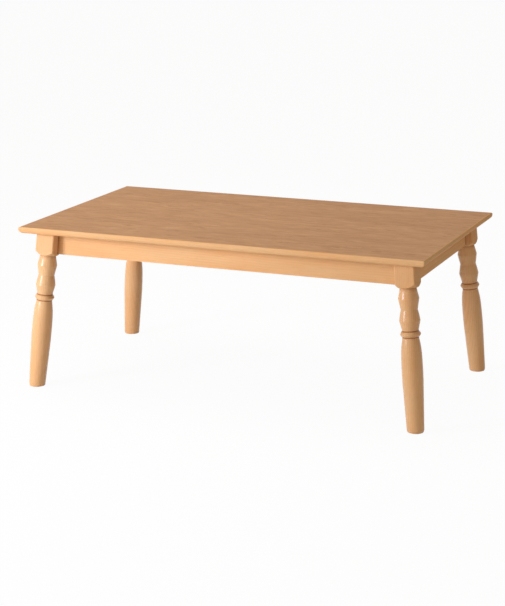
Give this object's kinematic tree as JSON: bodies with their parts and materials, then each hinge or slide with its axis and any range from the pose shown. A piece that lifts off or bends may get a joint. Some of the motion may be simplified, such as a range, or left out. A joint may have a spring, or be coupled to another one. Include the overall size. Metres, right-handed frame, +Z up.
{
  "type": "kotatsu table",
  "caption": "Low heated table: loose veneered board on a frame with splayed turned legs, slat lattice and a fan heater under its middle.",
  "frame": {"origin": "on the floor, under the centre of the table", "axes": "+X along the length, -Y the front, +Z up"},
  "size_m": [1.05, 0.6, 0.417],
  "materials": {
    "fibreboard": "raw fibreboard",
    "backing": "matt balancing veneer",
    "top_veneer": "satin lacquered alder veneer",
    "edging_wood": "satin lacquered",
    "leg_wood": "satin lacquered",
    "rail_wood": "satin lacquered",
    "slat_wood": "planed",
    "felt": "needled felt",
    "clear_rubber": "translucent elastomer",
    "zinc": "zinc plated",
    "plate_steel": "yellow passivated zinc",
    "bezel_plastic": "moulded",
    "galvanised": "galvanised sheet",
    "reflector_sheet": "bright rolled",
    "guard_flock": "flocked",
    "quartz": "clear fused quartz",
    "coil_wire": "oxidised resistance wire",
    "ceramic_cap": "unglazed",
    "motor_can": "drawn can",
    "steel_shaft": "ground",
    "impeller_plastic": "heat resistant",
    "bakelite": "phenolic",
    "fuse_case": "sleeved",
    "terminal_plastic": "moulded",
    "brass_pin": "plated"
  },
  "bodies": {
    "frame": {"back_rail": "rail_wood", "bolt_nuts": "zinc", "bolt_washers": "zinc", "corner_plate_back_left": "plate_steel", "corner_plate_back_right": "plate_steel", "corner_plate_front_left": "plate_steel", "corner_plate_front_right": "plate_steel", "corner_screws": "zinc", "cross_slat_left": "slat_wood", "cross_slat_right": "slat_wood", "fan_motor": "motor_can", "foot_pads": "felt", "front_rail": "rail_wood", "guard_screws": "zinc", "hanger_bolts": "zinc", "heater_bezel": "bezel_plastic", "heater_cover": "galvanised", "heater_guard": "guard_flock", "heater_screws": "zinc", "heating_coil_back": "coil_wire", "heating_coil_front": "coil_wire", "inlet_pins": "brass_pin", "inlet_socket": "bakelite", "left_rail": "rail_wood", "leg_back_left": "leg_wood", "leg_back_right": "leg_wood", "leg_front_left": "leg_wood", "leg_front_right": "leg_wood", "long_slat_back": "slat_wood", "long_slat_front": "slat_wood", "motor_screws": "zinc", "quartz_tube_back": "quartz", "quartz_tube_front": "quartz", "reflector": "reflector_sheet", "rest_pads": "clear_rubber", "right_rail": "rail_wood", "terminal_block": "terminal_plastic", "thermal_fuse": "fuse_case", "thermostat": "bakelite", "tube_clips": "galvanised", "tube_end_caps": "ceramic_cap"},
    "tabletop": {"tabletop_core": "fibreboard", "backing_sheet": "backing", "top_veneer": "top_veneer", "edging_front": "edging_wood", "edging_back": "edging_wood", "edging_left": "edging_wood", "edging_right": "edging_wood"},
    "fan": {"fan_shaft": "steel_shaft", "fan_impeller": "impeller_plastic"}
  },
  "joints": [
    {"name": "top_lift", "type": "slide", "parent": "frame", "child": "tabletop", "axis": [0, 0, 1], "range_m": [0, 0.25]},
    {"name": "fan_spin", "type": "hinge", "parent": "frame", "child": "fan", "pos_m": [0, 0, 0.3667], "axis": [0, 0, 1], "continuous": true}
  ]
}
